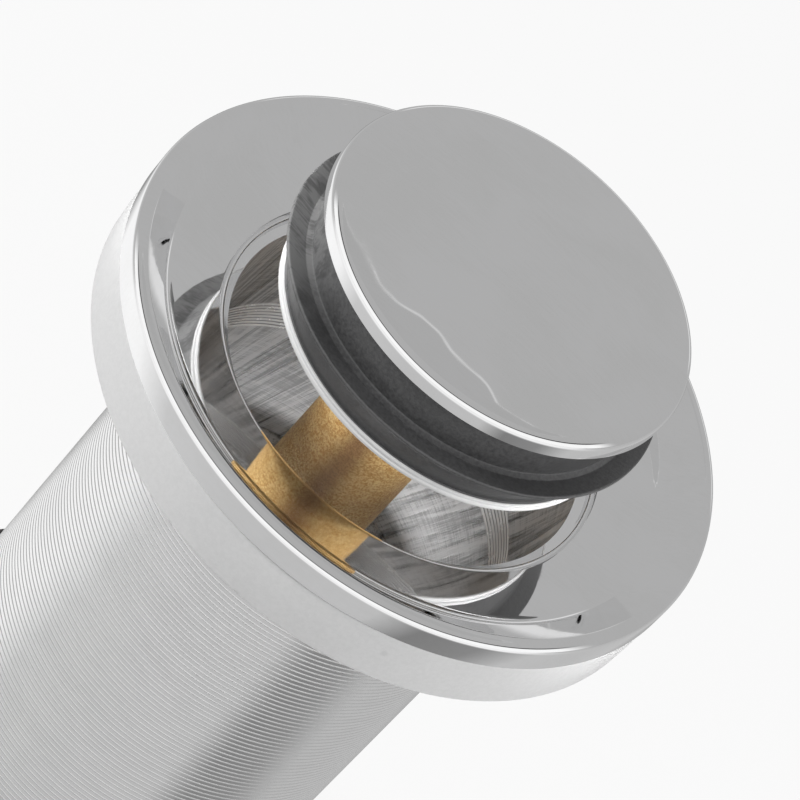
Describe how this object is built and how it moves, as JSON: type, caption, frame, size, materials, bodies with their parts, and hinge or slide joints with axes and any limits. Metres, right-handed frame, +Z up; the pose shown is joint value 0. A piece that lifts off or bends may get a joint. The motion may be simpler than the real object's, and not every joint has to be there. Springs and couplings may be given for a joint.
{
  "type": "pop up basin waste",
  "caption": "Round unslotted basin waste with a domed plug that is pushed to open and to close, a dished flange, a soft washer and a finely threaded tail with a back nut.",
  "frame": {"origin": "on the axis at the lower end of the tail, at the bottom of the part's box", "axes": "+Z up the axis from the tail's end to the plug, +X and +Y across it"},
  "size_m": [0.064, 0.064, 0.1063],
  "materials": {
    "chromed_body": "bright chrome plate, turned and unpolished inside the bore",
    "chromed_plug": "bright chrome plate",
    "brass": "turned, unplated",
    "steel": "stainless",
    "white_washer": "soft foamed plastic, matte white",
    "gasket_rubber": "matte black",
    "seal_rubber": "satin dark grey",
    "grey_plastic": "matte",
    "black_plastic": "matte"
  },
  "bodies": {
    "waste": {"waste_body": "chromed_body", "flange_washer": "white_washer", "bridge_insert": "chromed_body", "bridge_ring": "chromed_body", "cam_post": "brass", "post_washer": "steel", "post_nut": "brass", "index_crown": "black_plastic"},
    "plug": {"plug_cap": "chromed_plug", "cap_seal": "seal_rubber", "seal_core": "grey_plastic", "seal_plate": "chromed_plug", "plug_sleeve": "brass", "sleeve_clip": "steel", "guide_bush": "black_plastic", "thrust_washer": "steel", "return_spring": "steel"},
    "rotor": {"latch_rotor": "black_plastic"},
    "nut_stack": {"slip_washer": "grey_plastic", "basin_gasket": "gasket_rubber"},
    "nut": {"back_nut": "brass"}
  },
  "joints": [
    {"name": "plug_slide", "type": "slide", "parent": "waste", "child": "plug", "axis": [0, 0, 1], "range_m": [-0.0112, 0], "stiffness_N_per_m": 600, "springref_m": 0.008, "deforming": ["return_spring"]},
    {"name": "rotor_turn", "type": "hinge", "parent": "plug", "child": "rotor", "pos_m": [0, 0, 0.071], "axis": [0, 0, 1], "range_deg": [-1, 61]},
    {"name": "washer_slide", "type": "slide", "parent": "waste", "child": "nut_stack", "axis": [0, 0, 1], "range_m": [0, 0.0501]},
    {"name": "nut_spin", "type": "hinge", "parent": "nut_stack", "child": "nut", "pos_m": [0, 0, 0.01385], "axis": [0, 0, 1], "range_deg": [0, 29032.26]}
  ],
  "couplings": [
    {"joint": "rotor_turn", "follows": "plug_slide", "rad_per_m": -93.5},
    {"joint": "washer_slide", "follows": "nut_spin", "m_per_rad": 0.000098676}
  ]
}
